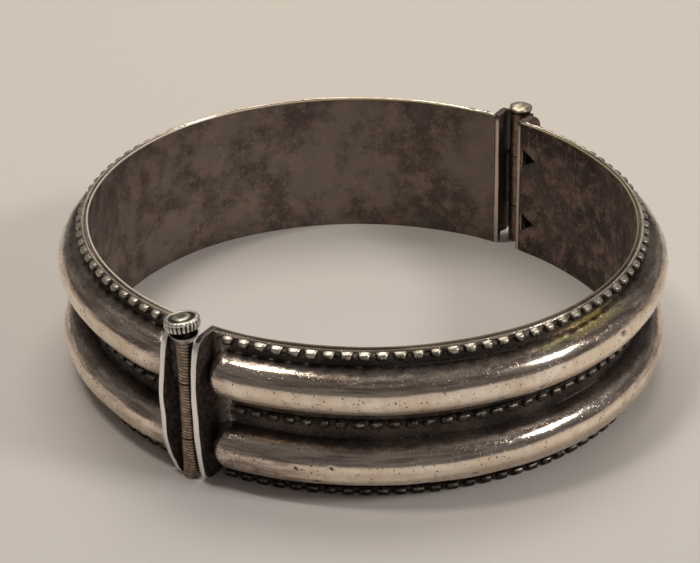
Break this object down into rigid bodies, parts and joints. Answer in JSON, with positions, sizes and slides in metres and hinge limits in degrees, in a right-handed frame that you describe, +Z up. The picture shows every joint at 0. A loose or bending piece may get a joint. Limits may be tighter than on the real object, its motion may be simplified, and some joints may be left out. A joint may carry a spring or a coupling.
{
  "type": "hinged silver bangle",
  "caption": "Oval hinged bangle of half bands with hollow ridges, milled rows, a riveted hinge pin and a pull-out clasp pin.",
  "frame": {"origin": "middle of the band at the level of the rim that it rests on", "axes": "+Z up along the band's axis, +X towards the hinge, -X towards the clasp, front half at -Y"},
  "size_m": [0.0688, 0.0708, 0.0203],
  "materials": {
    "band_silver": "low-grade silver, polished by wear on the ridges, with dark brown-black patina in the recesses and a mottled grey-brown inside",
    "pin_silver": "low-grade silver, bright where it is handled"
  },
  "bodies": {
    "front_half": {"front_half": "band_silver", "hinge_pin": "pin_silver"},
    "rear_half": {"rear_half": "band_silver"},
    "clasp_pin": {"clasp_pin": "pin_silver"}
  },
  "joints": [
    {"name": "hinge", "type": "hinge", "parent": "front_half", "child": "rear_half", "pos_m": [0.0326, -0.0008, 0.009], "axis": [0, 0, -1], "range_deg": [0, 78]},
    {"name": "clasp_slide", "type": "slide", "parent": "rear_half", "child": "clasp_pin", "axis": [0, 0, 1], "range_m": [0, 0.019]}
  ]
}
